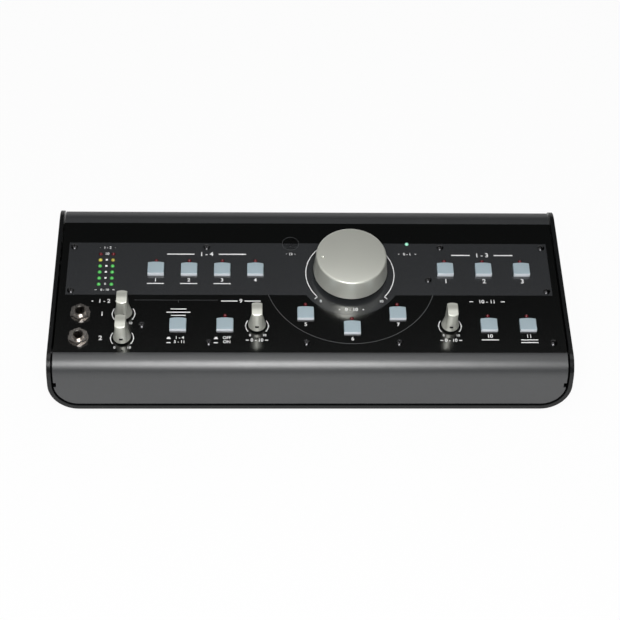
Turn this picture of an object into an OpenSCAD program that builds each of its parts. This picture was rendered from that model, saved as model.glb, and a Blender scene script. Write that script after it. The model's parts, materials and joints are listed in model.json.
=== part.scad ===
// Desk-top studio monitor controller: a folded grey cover with a sloping deck sits in a black
// U-shaped wrap. The deck carries a large volume knob, four level knobs, fourteen push buttons,
// a two-column level meter and two headphone sockets; the recessed back carries the line sockets.
// Millimetres. +X right, +Y to the back, +Z up. Origin: under the middle of the part, on the desk.

/* [Case] */
// Width over the two side cheeks
case_w = 390; // [380:1:420]
// Slope of the deck, in degrees
deck_tilt = 17; // [12:0.5:20]
// Flat length of the deck between the two bends
deck_len = 129.8; // [126:0.1:140]
// Outside radius of the bend under the user's wrist
nose_r = 15; // [12:0.5:16]
// Height of the flat front face above the case underside
nose_z = 28.7; // [26:0.1:36]
// Outside radius of the rear bend
rear_r = 15; // [12:0.5:16]
// Height of the strip of cover that hangs below the rear bend
rear_lip = 8; // [6:0.5:12]
// Distance from the front bend to the edge of the front print band
print_edge = 1.35; // [0.5:0.05:4]

/* [Sheet metal] */
// Thickness of the U-shaped wrap
wrap_t = 3; // [2:0.1:4]
// Outside radius of the wrap's two bottom corners
wrap_r = 22; // [18:0.5:26]
// How far the rim of the wrap stands proud of the cover
rim_proud = 0.8; // [0.4:0.1:2]
// Dark joint between the wrap and the cover
joint_gap = 1.4; // [0.8:0.1:2]
// Thickness of the folded cover
cover_t = 1.5; // [1:0.1:2]
// Thickness of the connector plate
rear_t = 1.5; // [1:0.1:2]
// Height above the underside at which the cover's side flanges end
flange_z = 24; // [22:0.5:28]
// Width of the bend relief cut in the cover's front corners
relief = 2; // [1:0.1:3]
// Depth of the connector plate's foot flange
foot_flange = 12; // [9:0.5:16]

/* [Feet] */
// Diameter of a rubber foot
foot_d = 16; // [12:0.5:20]
// Height of a rubber foot
foot_h = 3; // [2.5:0.1:6]
// Distance of the feet from the sides
foot_in_x = 34; // [32:1:60]
// Distance of the feet from the front and the back
foot_in_y = 20; // [14:1:30]

/* [Volume knob] */
// Distance of the volume knob right of the middle
volume_u = 31; // [25:0.5:37]
// Distance of the volume knob up the deck from the print edge
volume_v = 74.2; // [72:0.1:78]
// Diameter of the volume knob at its bottom edge
volume_d = 56.6; // [50:0.2:58]
// Diameter of the volume knob at its top edge
volume_top_d = 53.4; // [48:0.2:56]
// Height of the top face above the deck
volume_top = 23; // [18:0.1:28]
// Gap between the deck and the volume knob
volume_gap = 5; // [4:0.1:6]
// Distance of the pointer dimple from the knob's axis
dimple_at = 21.5; // [15:0.5:23]
// Diameter of the pointer dimple
dimple_d = 2.6; // [2:0.1:4]
// Wall of the volume knob
volume_wall = 3; // [2:0.1:4]

/* [Level knobs] */
// Height of a level knob's top above the deck
level_top = 22.6; // [18:0.1:26]
// Gap between the deck and a level knob
level_gap = 1.9; // [1:0.1:3]
// Diameter of a level knob's skirt
level_d = 13.3; // [12:0.1:15]
// Width of the finger grip across its two flats
grip_w = 7.8; // [7.6:0.1:9]
// Length of the finger grip at its top
grip_len = 12.6; // [11:0.1:13.2]
// Height above the knob's lower edge at which the sloping skirt runs out into the grip
skirt_h = 14; // [8:0.1:16]
// Radius of the crowned top
crown_r = 14; // [10:0.5:20]
// Width of the small notch low on the front
notch_w = 2.8; // [1:0.1:3.4]
// Height of the notch
notch_h = 2.2; // [1:0.1:3]
// Height of the notch's lower edge above the knob's lower edge
notch_z = 4.3; // [2:0.1:6]

/* [Push buttons] */
// Width of a button cap
cap_w = 12.4; // [12:0.1:14]
// Depth of a button cap
cap_len = 10.4; // [10:0.1:12]
// Height above the deck of the caps that stand out: the first input and the speakers
cap_out = 3; // [2.8:0.1:4]
// Height above the deck of the other caps
cap_in = 2.2; // [2.2:0.1:3]
// How far the skirt of a low cap reaches below the deck surface
cap_skirt = 3.2; // [3:0.1:3.4]
// Radius of the cap's upper edges
cap_edge = 0.9; // [0.4:0.1:1.2]
// Bulge of the cap's rear side
cap_bow = 0.7; // [0.3:0.1:1.5]
// Gap all round a cap in its cut-out
cap_gap = 0.35; // [0.3:0.05:0.6]
// Distance from the middle of a cap to its lamp
lamp_at = 9.3; // [8.4:0.1:10.5]

/* [Deck layout] */
// Place of the first input source button across the deck
source_u = -117.9; // [-120:0.1:-114]
// Spacing of the four input source buttons
source_pitch = 25.4; // [22:0.1:27]
// Height up the deck of the input source and speaker buttons
upper_v = 77.2; // [74:0.1:80]
// Place of the talkback and first speaker column across the deck
right_u = 104.6; // [100:0.1:108]
// Spacing of the three right-hand columns
right_pitch = 29.5; // [25:0.1:31]
// Height up the deck of the lower row of buttons
lower_v = 24.8; // [22:0.1:27]
// Height up the deck of the studio and talkback level knobs
level_v = 24.4; // [22:0.1:27]
// Place of the headphone source button
phones_source_u = -99.5; // [-104:0.1:-92]
// Place of the studio output button
studio_u = -64.4; // [-72:0.1:-60]
// Place of the studio level knob
studio_knob_u = -40.4; // [-42:0.1:-36]
// Place of the two headphone level knobs
phones_knob_u = -140.5; // [-144:0.1:-136]
// Height up the deck of the first headphone socket and knob
phones_v = 35.3; // [34:0.1:38]
// Spacing of the two headphone sockets and knobs
phones_pitch = 22.3; // [20:0.1:23]
// Sideways distance of the mono and dim buttons from the volume knob
mono_du = 34.8; // [32:0.1:38]
// Height up the deck of the mono and dim buttons
mono_v = 35.4; // [33:0.1:36.5]
// Height up the deck of the mute button
mute_v = 22.2; // [18:0.1:26]
// Place of the meter's middle line
meter_u = -156; // [-157:0.1:-154]
// Distance between the two meter columns
meter_gap = 9.6; // [8:0.1:12]
// Height up the deck of the lowest meter lamp
meter_v = 63.5; // [60:0.1:66]
// Spacing of the meter lamps
meter_pitch = 5.86; // [4.5:0.01:6]
// Sideways distance of the microphone and the power lamp from the volume knob
mic_du = 45.4; // [42:0.1:50]
// Height up the deck of the microphone and the power lamp
mic_v = 103.5; // [98:0.1:108]

/* [Microphone grille] */
// Diameter of the drilled field
grille_d = 12; // [9:0.5:13]
// Diameter of one grille hole
grille_hole = 1.1; // [0.8:0.1:1.3]
// Spacing of the grille holes
grille_pitch = 1.75; // [1.6:0.05:2.4]

/* [Headphone and line sockets] */
// Bore of a quarter-inch socket
jack_bore = 6.4; // [6.4:0.05:6.6]
// Outside diameter of a socket's threaded neck
jack_neck = 9; // [8.6:0.1:9.6]
// Width across the flats of a headphone nut
phones_nut = 13; // [12:0.5:15]
// Width across the flats of a line socket nut
line_nut = 12.7; // [11:0.1:14]
// Place of the headphone sockets across the deck
phones_u = -172.8; // [-175:0.1:-170]
// Height of the lower row of line sockets above the underside
line_z = 19; // [16:0.5:22]
// Height between the two rows of line sockets
line_rise = 24; // [20:0.5:26]
// Spacing of the line sockets along the back
line_pitch = 22; // [19:0.5:24]
// Place of the first pair of line sockets
line_x = -140; // [-145:1:-135]
// Length of the phono socket barrels outside the plate
phono_len = 9; // [8:0.5:12]
// Place of the phono sockets
phono_x = 88; // [84:1:92]
// Place of the earth post and the phono switch
earth_x = 109; // [107:1:113]
// Place of the power inlet
inlet_x = 133; // [130:1:136]
// Place of the power rocker
rocker_x = 160; // [155:1:165]
// Height of the inlet and rocker above the underside
inlet_z = 31; // [28:0.5:36]

/* [Boards and shafts] */
// Depth of the main board below the deck surface
board_drop = 12; // [11.5:0.1:14]
// Thickness of the circuit boards
board_t = 1.6; // [1:0.1:2]
// Diameter of the control shafts
shaft_d = 6; // [4:0.1:6.2]
// Radial running clearance of a shaft in its bushing
shaft_fit = 0.05; // [0.02:0.01:0.1]
// Side of a switch plunger
plunger = 3; // [2:0.1:3.2]
// Clearance round a switch plunger
plunger_gap = 0.3; // [0.3:0.05:0.6]
// Stroke of a push button
stroke = 2; // [1.5:0.1:2.4]

/* [Screws] */
// Thread diameter of the screws
screw_d = 3; // [2.5:0.1:3.5]
// Head diameter of the screws
head_d = 5.2; // [4.6:0.1:6]
// Head height of the screws
head_h = 1.5; // [1:0.1:2]
// Rise of the domed top of a screw head
head_dome = 0.9; // [0.4:0.1:1]
// Length of the cross recess in a screw head
recess_l = 3; // [2:0.1:3.4]
// Width of the cross recess
recess_w = 0.8; // [0.5:0.1:1]
// Depth of the cross recess
recess_h = 0.8; // [0.5:0.1:1]

/* [Hidden] */
$fn = 64;
eps = 0.01;
seat = 0.02;
hole_fit = 0.2;
half_w = case_w / 2;
cover_half = half_w - wrap_t - joint_gap;
cover_z = wrap_t + joint_gap;
// Unit vectors along and square to the deck in the Y-Z plane
along = [cos(deck_tilt), sin(deck_tilt)];
normal = [-sin(deck_tilt), cos(deck_tilt)];
nose_c = [rim_proud + nose_r, nose_z];
rear_c = nose_c + nose_r * normal + deck_len * along - rear_r * normal;
rear_y = rear_c[0] + rear_r;
lip_z = rear_c[1] - rear_lip;
plate_y = rear_y - cover_t;
plate_in = plate_y - rear_t;
plate_top = rear_c[1] - 2;
case_depth = rear_y + rim_proud;
mid_y = max(case_depth, plate_y + phono_len) / 2;
deck_0 = nose_c + nose_r * normal + print_edge * along;
tall = 200;
// The layout is drawn for a case this wide with a deck this long, and spreads with them
drawn_w = 390;
drawn_len = 129.8;
spread = [case_w / drawn_w, deck_len / drawn_len];
board_n = -board_drop;
plate_gap = 0.3;
plate_r = wrap_r - wrap_t + 1;
foot_sink = 1.2;
lip_screw_z = (lip_z + plate_top) / 2;
play = 0.3;
screw_past = 2;
// Volume and level controls
volume_neck = 9;
volume_pot_d = 24;
volume_pot_len = 20;
volume_nut_t = 2;
volume_nut_af = 12;
volume_neck_out = volume_nut_t + 1.6;
volume_roof = 3.2;
volume_edge = 1.2;
hub_d = 2 * shaft_d;
neck_bore = shaft_d + 2 * shaft_fit;
shaft_floor = 2;
level_neck = 7;
level_neck_out = 0.7;
level_body = [9.6, 11.4, 7];
level_hub_top = level_top - 4;
level_room = 0.6;
skirt_in = 0.3;
notch_in = 0.9;
// Caps and switches
cap_wall = 1.2;
cap_taper = 0.25;
cap_post = 5.4;
switch_w = 7.2;
switch_h = 6;
switch_floor = 0.6;
plunger_low = board_n + switch_floor + play + stroke;
// Lamps and microphone
lamp_d = 2.9;
lamp_hole = 3.2;
lamp_low = 0.5;
capsule_d = 9.7;
capsule_h = 5;
boot_wall = 1.6;
// Sockets and switches
jack_depth = 27;
jack_floor = 2;
jack_lead = 0.8;
phones_box = [13, 15];
neck_out = 5.2;
nut_t = 2.6;
washer_t = 0.8;
line_box = [12, 14];
line_depth = 24;
line_out = 4.4;
line_nut_t = 2;
phono_d = 8.3;
phono_core = 6.6;
phono_pin = 3.3;
phono_in = 10;
phono_rim = 2;
phono_flange = 1;
phono_floor = 4;
phono_sunk = 0.6;
phono_body = 9;
phono_cap = 5;
phono_cap_out = 2.5;
phono_button_z = line_z + 1;
earth_d = 4;
earth_in = 6;
earth_out = 8;
earth_head = 2;
earth_nut_d = 9;
earth_nut_t = 4.4;
earth_nut_out = 0.5;
earth_z = line_z + line_rise - 1;
inlet_d = 15;
inlet_in = 12;
inlet_out = 1.5;
inlet_wall = 1.6;
inlet_core = 11;
inlet_pins = 3.4;
inlet_pin_d = 1.5;
rocker_body = [12.9, 19];
rocker_in = 14;
rocker_r = 7.2;
rocker_w = 9;
rocker_axis = -3;
rocker_rest = 10;
valley_low = 4.2;
valley_high = 6;
pivot_d = 2;
bezel = 1.2;
bezel_t = 1.8;
// Boards
board_end = half_w - 8;
board_low_v = 3;
board_high_v = deck_len - 7.8;
board_clear = 2;
rear_board_y = plate_in - line_depth - board_t;
plug = 5;
ribbon_w = 40;
ribbon_t = 1;
ribbon_bend = 8;
// Rows, columns and screws
phones_vs = [phones_v, phones_v - phones_pitch];
meter_rows = 6;
deck_screws = [
    [-181.7, 99.8], [-79.5, 99.8], [102.3, 99.8], [181.4, 99.8],
    [-181.7, 57.4], [181.4, 57.4], [91.1, 68.2],
    [-126.5, 24.9], [-76.3, 9], [-3.5, 9], [65.8, 9], [181.4, 9]];
side_screws = [[24, 34], [112, 54]];
lip_screws = [-150, -50, 50, 150];
floor_screws = [for (x = lip_screws) [x * spread[0], plate_in - foot_flange / 2]];
foot_xs = [foot_in_x - half_w, half_w - foot_in_x];
foot_ys = [foot_in_y, case_depth - foot_in_y];
line_xs = [for (i = [0 : 9]) line_x + i * line_pitch];
line_zs = [line_z, line_z + line_rise];
phono_zs = [line_z + 1, line_z + line_rise - 1];
// Button places: across the deck, up the deck, height of the cap above the deck
source_1_at = [source_u, upper_v, cap_out];
source_2_at = [source_u + source_pitch, upper_v, cap_in];
source_3_at = [source_u + 2 * source_pitch, upper_v, cap_in];
source_4_at = [source_u + 3 * source_pitch, upper_v, cap_in];
speaker_a_at = [right_u, upper_v, cap_out];
speaker_b_at = [right_u + right_pitch, upper_v, cap_out];
speaker_c_at = [right_u + 2 * right_pitch, upper_v, cap_out];
mono_at = [volume_u - mono_du, mono_v, cap_in];
mute_at = [volume_u, mute_v, cap_in];
dim_at = [volume_u + mono_du, mono_v, cap_in];
phones_source_at = [phones_source_u, lower_v, cap_in];
studio_at = [studio_u, lower_v, cap_in];
talk_tracks_at = [right_u + right_pitch, lower_v, cap_in];
talk_phones_at = [right_u + 2 * right_pitch, lower_v, cap_in];
button_places = [source_1_at, source_2_at, source_3_at, source_4_at, speaker_a_at,
    speaker_b_at, speaker_c_at, mono_at, mute_at, dim_at, phones_source_at, studio_at, talk_tracks_at,
    talk_phones_at];
// Every button but the headphone source one has a lamp
lamp_places = [for (b = button_places) if (b != phones_source_at) b];
level_places = [[phones_knob_u, phones_vs[0]], [phones_knob_u, phones_vs[1]],
    [studio_knob_u, level_v], [right_u, level_v]];

// ---- Placing and shared shapes ----

// Moves the case from its own datum (front edge, underside) to the part's origin
module placed() {
    translate([0, -mid_y, foot_h]) children();
}

// A point on the deck: u across, v up the slope from the print edge, n out of the surface
module on_deck(u, v, n = 0) {
    rise = v * spread[1];
    translate([u * spread[0], deck_0[0] + rise * along[0], deck_0[1] + rise * along[1]])
        rotate([deck_tilt, 0, 0])
            translate([0, 0, n]) children();
}

// A point on the outer face of the connector plate, with z pointing out of the back
module on_plate(x, z, out = 0) {
    translate([x * spread[0], plate_y + out, z]) rotate([-90, 0, 0]) children();
}

// Extrudes a Y-Z outline across the case
module across(w) {
    rotate([90, 0, 90]) linear_extrude(w, center = true) children();
}

// Extrudes an X-Z outline from the front y0 to the back y1
module lengthwise(y0, y1) {
    translate([0, y1, 0]) rotate([90, 0, 0]) linear_extrude(y1 - y0) children();
}

// Solid with the case's side outline, w across, drawn inside the cover's skin by inset
module side_form(w, inset, z_low) {
    rn = nose_r - inset;
    rr = rear_r - inset;
    y0 = nose_c[0] - rn;
    y1 = rear_c[0] + rr;
    across(w) polygon([[y0, z_low], [y0, nose_c[1]], nose_c + rn * normal, rear_c + rr * normal,
        [y1, rear_c[1]], [y1, z_low]]);
    x_rod(0, nose_c[0], nose_c[1], 2 * rn, w);
    x_rod(0, rear_c[0], rear_c[1], 2 * rr, w);
}

// Front outline of the case: straight sides over two round bottom corners
module front_outline(half, z_low, r) {
    translate([-half, z_low + r]) square([2 * half, tall]);
    translate([r - half, z_low]) square([2 * (half - r), tall]);
    for (s = [-1, 1]) {
        translate([s * (half - r), z_low + r]) circle(r, $fn = 96);
    }
}

// Cylinder along X with its middle at [x, y, z]
module x_rod(x, y, z, d, l) {
    translate([x, y, z]) rotate([0, 90, 0]) cylinder(d = d, h = l, center = true);
}

// Screw with a domed head and a cross recess: the underside of its head is at z = 0
module screw(l) {
    dome_r = (head_d * head_d / 4 + head_dome * head_dome) / 2 / head_dome;
    difference() {
        intersection() {
            cylinder(d = head_d, h = head_h);
            translate([0, 0, head_h - dome_r]) sphere(dome_r);
        }
        for (a = [0, 90]) {
            rotate([0, 0, a]) translate([-recess_l / 2, -recess_w / 2, head_h - recess_h])
                cube([recess_l, recess_w, head_h]);
        }
    }
    translate([0, 0, -l]) cylinder(d = screw_d, h = l + eps);
}

// Six-sided nut, af across its flats, with a round hole
module hex_nut(af, t, hole) {
    difference() {
        cylinder(d = af / cos(30), h = t, $fn = 6);
        translate([0, 0, -1]) cylinder(d = hole, h = t + 2);
    }
}

// ---- Case ----

module base_wrap() {
    color("#15161a") placed() difference() {
        union() {
            difference() {
                intersection() {
                    side_form(case_w, -rim_proud, 0);
                    lengthwise(-1, case_depth + 1) front_outline(half_w, 0, wrap_r);
                }
                lengthwise(-2, case_depth + 2)
                    front_outline(half_w - wrap_t, wrap_t, wrap_r - wrap_t);
            }
            for (s = [-1, 1], p = side_screws) {
                x_rod(s * (half_w - wrap_t - joint_gap / 2), p[0], p[1], 2 * head_d, joint_gap);
            }
        }
        for (s = [-1, 1], p = side_screws) {
            x_rod(s * half_w, p[0], p[1], screw_d + 2 * hole_fit, 4 * wrap_t);
            x_rod(s * half_w, p[0], p[1], head_d + 2 * hole_fit, 2 * head_h);
        }
        for (p = floor_screws) {
            translate([p[0], p[1], -1]) cylinder(d = screw_d + 2 * hole_fit, h = wrap_t + 2);
        }
        for (x = foot_xs, y = foot_ys) {
            translate([x, y, -1]) cylinder(d = screw_d + 2 * hole_fit, h = wrap_t + 2);
        }
    }
}

// Cut-outs of the deck, each a little larger than the piece that stands in it
module deck_cuts() {
    depth = 2 * cover_t + 2;
    for (b = button_places) {
        on_deck(b[0], b[1], -depth / 2) translate([-cap_w / 2 - cap_gap, -cap_len / 2 - cap_gap, 0])
            cube([cap_w + 2 * cap_gap, cap_len + cap_bow + 2 * cap_gap, depth]);
    }
    for (b = lamp_places) {
        on_deck(b[0], b[1] + lamp_at, -depth / 2) cylinder(d = lamp_hole, h = depth);
    }
    for (p = level_places) {
        on_deck(p[0], p[1], -depth / 2) cylinder(d = level_neck + 2 * hole_fit, h = depth);
    }
    on_deck(volume_u, volume_v, -depth / 2) cylinder(d = volume_neck + 2 * hole_fit, h = depth);
    for (v = phones_vs) {
        on_deck(phones_u, v, -depth / 2) cylinder(d = jack_neck + 2 * hole_fit, h = depth);
    }
    for (i = [0 : meter_rows - 1], s = [-1, 1]) {
        on_deck(meter_u + s * meter_gap / 2, meter_v + i * meter_pitch, -depth / 2)
            cylinder(d = lamp_hole, h = depth);
    }
    on_deck(volume_u + mic_du, mic_v, -depth / 2) cylinder(d = lamp_hole, h = depth);
    for (p = deck_screws) {
        on_deck(p[0], p[1], -depth / 2) cylinder(d = screw_d + 2 * hole_fit, h = depth);
    }
    on_deck(volume_u - mic_du, mic_v, -depth / 2) grille_holes(depth);
}

// Hexagonal field of small holes in front of the talkback microphone
module grille_holes(depth) {
    rings = ceil(grille_d / 2 / grille_pitch);
    for (i = [-rings : rings], j = [-rings : rings]) {
        x = (i + j / 2) * grille_pitch;
        y = j * sin(60) * grille_pitch;
        if (norm([x, y]) < (grille_d - grille_hole) / 2) {
            translate([x, y, 0]) cylinder(d = grille_hole, h = depth, $fn = 16);
        }
    }
}

module top_cover() {
    color("#5b6068") placed() difference() {
        intersection() {
            side_form(2 * cover_half, 0, cover_z);
            lengthwise(-1, case_depth + 1)
                front_outline(cover_half, cover_z, wrap_r - cover_z);
        }
        side_form(2 * (cover_half - cover_t), cover_t, 0);
        // Side flanges end above the round corners of the wrap
        translate([-half_w, rim_proud + cover_t, 0]) cube([case_w, case_depth, flange_z]);
        // The rear strip ends where the connector plate begins to show
        translate([-half_w, plate_y, 0]) cube([case_w, case_depth, lip_z]);
        // The side flanges stop short of the connector plate
        translate([-half_w, plate_in - plate_gap, 0])
            cube([case_w, rear_t + plate_gap, plate_top + plate_gap]);
        for (s = [-1, 1]) {
            translate([s * (cover_half + 1) - relief - 1, -1, flange_z - 2 * relief])
                cube([2 * relief + 2, rim_proud + cover_t + 2, 2 * relief + eps]);
        }
        for (s = [-1, 1], p = side_screws) {
            x_rod(s * cover_half, p[0], p[1], screw_d + 2 * seat, 4 * cover_t);
        }
        for (x = lip_screws) {
            on_plate(x, lip_screw_z, -1) cylinder(d = screw_d + 2 * hole_fit, h = cover_t + 2);
        }
        deck_cuts();
    }
}

module rear_panel() {
    half = half_w - wrap_t - plate_gap;
    color("#1b1c20") placed() difference() {
        union() {
            intersection() {
                lengthwise(plate_in, plate_y) front_outline(half, wrap_t, plate_r);
                translate([-half_w, 0, 0]) cube([case_w, tall, plate_top]);
            }
            translate([wrap_r - half_w, plate_in - foot_flange, wrap_t])
                cube([case_w - 2 * wrap_r, foot_flange + eps, rear_t]);
        }
        for (x = line_xs, z = line_zs) {
            plate_hole(x, z, jack_neck + 2 * hole_fit);
        }
        for (z = phono_zs) {
            plate_hole(phono_x, z, phono_d + 2 * hole_fit);
        }
        plate_hole(earth_x, earth_z, earth_d + 2 * hole_fit);
        plate_slot(earth_x, phono_button_z, [phono_cap + 2 * cap_gap, phono_cap + 2 * cap_gap]);
        plate_hole(inlet_x, inlet_z, inlet_d + 2 * hole_fit);
        plate_slot(rocker_x, inlet_z, [rocker_body[0] + 2 * hole_fit, rocker_body[1] + 2 * hole_fit]);
        for (x = lip_screws) {
            plate_hole(x, lip_screw_z, screw_d + 2 * seat);
        }
        for (p = floor_screws) {
            translate([p[0], p[1], wrap_t - 1]) cylinder(d = screw_d + 2 * seat, h = rear_t + 2);
        }
    }
}

// Cutters through the connector plate: a round hole, and a slot of given width and height
module plate_hole(x, z, d) {
    on_plate(x, z, -rear_t - 1) cylinder(d = d, h = rear_t + 2);
}
module plate_slot(x, z, size) {
    on_plate(x, z, -rear_t / 2) cube([size[0], size[1], rear_t + 2], center = true);
}

// Rubber foot with a counterbore for its screw
module feet() {
    color("#0c0c0d") placed() for (x = foot_xs, y = foot_ys) {
        translate([x, y, -foot_h]) difference() {
            union() {
                cylinder(d1 = foot_d - 2, d2 = foot_d, h = foot_h / 2);
                translate([0, 0, foot_h / 2]) cylinder(d = foot_d, h = foot_h / 2);
            }
            translate([0, 0, -1]) cylinder(d = head_d + 2 * hole_fit, h = foot_h - foot_sink + 1);
            translate([0, 0, -1]) cylinder(d = screw_d + 2 * seat, h = foot_h + 2);
        }
    }
}

module case_screws() {
    color("#222226") placed() {
        for (s = [-1, 1], p = side_screws) {
            translate([s * (half_w - head_h), p[0], p[1]]) rotate([0, s * 90, 0])
                screw(wrap_t - head_h + joint_gap + cover_t + screw_past);
        }
        for (x = lip_screws) {
            on_plate(x, lip_screw_z, cover_t) screw(cover_t + rear_t + screw_past);
        }
        for (p = floor_screws) {
            translate([p[0], p[1], 0]) rotate([180, 0, 0]) screw(wrap_t + rear_t + screw_past);
        }
        for (x = foot_xs, y = foot_ys) {
            translate([x, y, -foot_sink]) rotate([180, 0, 0]) screw(foot_sink + wrap_t + screw_past);
        }
    }
}

// Screws through the deck, which hold the main board on its spacers
module panel_screws() {
    color("#1a1a1c") placed() for (p = deck_screws) {
        on_deck(p[0], p[1], 0) screw(board_drop + board_t + screw_past);
    }
}

// ---- Volume control ----

// Turned knob: tapered side, rounded top edge, hollow underside with a hub for the shaft
module volume_knob() {
    h = volume_top - volume_gap;
    edge = volume_edge;
    slope = (volume_d - volume_top_d) / 2 / h;
    color("#b9b8ae") placed() on_deck(volume_u, volume_v, volume_gap) difference() {
        rotate_extrude($fn = 128) {
            polygon([[0, 0], [volume_d / 2, 0], [volume_top_d / 2 + slope * edge, h - edge],
                [volume_top_d / 2 - edge, h], [0, h]]);
            translate([volume_top_d / 2 + slope * edge - edge, h - edge]) circle(edge);
        }
        difference() {
            translate([0, 0, -1])
                cylinder(d = volume_top_d - 2 * volume_wall, h = h - volume_roof + 1);
            cylinder(d = hub_d, h = h);
        }
        translate([0, 0, -1])
            cylinder(d = shaft_d + 2 * seat, h = h - volume_roof + 1 + seat);
        translate([-dimple_at, 0, h + dimple_d / 5]) sphere(d = dimple_d);
    }
}

module volume_shaft() {
    color("#a5a6a8") placed() on_deck(volume_u, volume_v, -volume_pot_len / 2)
        cylinder(d = shaft_d, h = volume_pot_len / 2 + volume_top - volume_roof);
}

module volume_pot() {
    color("#8b8d90") placed() on_deck(volume_u, volume_v, 0) difference() {
        union() {
            translate([0, 0, -cover_t - volume_pot_len])
                cylinder(d = volume_pot_d, h = volume_pot_len);
            translate([0, 0, -cover_t - eps])
                cylinder(d = volume_neck, h = cover_t + volume_neck_out + eps);
        }
        translate([0, 0, -volume_pot_len / 2 - play])
            cylinder(d = neck_bore, h = volume_pot_len);
    }
}

module volume_nut() {
    color("#9a9b9e") placed() on_deck(volume_u, volume_v, 0)
        hex_nut(volume_nut_af, volume_nut_t, volume_neck + 2 * seat);
}

// ---- Level controls ----

// Moulded knob: round skirt sloping in to a finger grip with two flat sides and a crowned top
module level_knob(p) {
    h = level_top - level_gap;
    color("#d3d4ca") placed() on_deck(p[0], p[1], level_gap) difference() {
        union() {
            intersection() {
                cylinder(d1 = level_d, d2 = grip_len, h = h);
                translate([-grip_w / 2, -level_d, 0]) cube([grip_w, 2 * level_d, h]);
                x_rod(0, 0, h - crown_r, 2 * crown_r, level_d);
            }
            cylinder(d1 = level_d, d2 = grip_w - 2 * skirt_in, h = skirt_h);
        }
        translate([0, 0, -1]) cylinder(d = shaft_d + 2 * seat, h = level_hub_top - level_gap + 1);
        // Room for the neck of the control under the knob
        translate([0, 0, -1]) cylinder(d = level_neck + 4, h = 1 + level_room);
        translate([-notch_w / 2, -level_d, notch_z]) cube([notch_w, level_d / 2 + notch_in, notch_h]);
    }
}

module level_shaft(p) {
    low = board_n + shaft_floor;
    color("#a5a6a8") placed() on_deck(p[0], p[1], low)
        cylinder(d = shaft_d, h = level_hub_top - play - low);
}

module level_pots() {
    color("#2c5f8c") placed() for (p = level_places) {
        on_deck(p[0], p[1], board_n) difference() {
            union() {
                translate([-level_body[0] / 2, -level_body[1] / 2, 0]) cube(level_body);
                cylinder(d = level_neck, h = board_drop + level_neck_out);
            }
            translate([0, 0, shaft_floor - play]) cylinder(d = neck_bore, h = 2 * board_drop);
        }
    }
}

module phones_1_knob() { level_knob(level_places[0]); }
module phones_2_knob() { level_knob(level_places[1]); }
module studio_knob() { level_knob(level_places[2]); }
module talkback_knob() { level_knob(level_places[3]); }
module phones_1_shaft() { level_shaft(level_places[0]); }
module phones_2_shaft() { level_shaft(level_places[1]); }
module studio_shaft() { level_shaft(level_places[2]); }
module talkback_shaft() { level_shaft(level_places[3]); }

// ---- Push buttons ----

// Plan of a cap: straight front and sides, gently bowed rear side
module cap_plan(inset) {
    w = cap_w - 2 * inset;
    bow_r = (w * w / 4 + cap_bow * cap_bow) / 2 / cap_bow;
    translate([-w / 2, inset - cap_len / 2]) square([w, cap_len - 2 * inset]);
    intersection() {
        translate([0, cap_len / 2 - inset + cap_bow - bow_r]) circle(bow_r, $fn = 96);
        translate([-w / 2, 0]) square([w, cap_len]);
    }
}

// Section of a cap between two heights: slightly tapered sides and round upper edges
module cap_section(l, low, high) {
    r = cap_edge;
    half = l / 2 - cap_taper;
    polygon([[-l / 2, low], [l / 2, low], [half, high - r], [half - r, high],
        [r - half, high], [-half, high - r]]);
    for (s = [-1, 1]) {
        translate([s * (half - r), high - r]) circle(r);
    }
}

// Hollow cap, and the switch plunger that it is pressed on
module button(b) {
    high = b[2];
    low = high - cap_in - cap_skirt;
    inside = high - cap_wall - low;
    deep = cap_len + 2 * cap_bow;
    socket = plunger + 2 * seat;
    color("#a9b6bd") placed() on_deck(b[0], b[1]) {
        difference() {
            intersection() {
                translate([0, 0, low]) linear_extrude(high - low) cap_plan(0);
                rotate([90, 0, 0]) linear_extrude(2 * deep, center = true)
                    cap_section(cap_w, low, high);
                translate([0, cap_bow / 2, 0]) rotate([90, 0, 90])
                    linear_extrude(2 * cap_w, center = true)
                    cap_section(deep, low, high);
            }
            difference() {
                translate([0, 0, low - 1]) linear_extrude(inside + 1) cap_plan(cap_wall);
                translate([0, 0, low + 1]) cylinder(d = cap_post, h = high - low);
            }
            translate([-socket / 2, -socket / 2, low - 1]) cube([socket, socket, inside + 1 + seat]);
        }
        // The plunger's top is level in all the switches; a cap that stands out sits higher on it
        translate([-plunger / 2, -plunger / 2, plunger_low])
            cube([plunger, plunger, cap_in - cap_wall - plunger_low]);
    }
}

module source_1_button() { button(source_1_at); }
module source_2_button() { button(source_2_at); }
module source_3_button() { button(source_3_at); }
module source_4_button() { button(source_4_at); }
module speaker_a_button() { button(speaker_a_at); }
module speaker_b_button() { button(speaker_b_at); }
module speaker_c_button() { button(speaker_c_at); }
module mono_button() { button(mono_at); }
module mute_button() { button(mute_at); }
module dim_button() { button(dim_at); }
module phones_source_button() { button(phones_source_at); }
module studio_button() { button(studio_at); }
module talk_tracks_button() { button(talk_tracks_at); }
module talk_phones_button() { button(talk_phones_at); }

module switch_bodies() {
    hole = plunger + 2 * plunger_gap;
    color("#3a3d42") placed() for (b = button_places) {
        on_deck(b[0], b[1], board_n) difference() {
            translate([-switch_w / 2, -switch_w / 2, 0]) cube([switch_w, switch_w, switch_h]);
            translate([-hole / 2, -hole / 2, switch_floor]) cube([hole, hole, switch_h]);
        }
    }
}

// ---- Lamps and microphone ----

// Round lamp standing on the main board, its dome just above the deck
module lamp(u, v) {
    on_deck(u, v, board_n) {
        cylinder(d = lamp_d, h = board_drop - lamp_low);
        translate([0, 0, board_drop - lamp_low]) sphere(d = lamp_d);
    }
}

module meter_lamps(rows) {
    for (i = rows, s = [-1, 1]) {
        lamp(meter_u + s * meter_gap / 2, meter_v + i * meter_pitch);
    }
}

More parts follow.
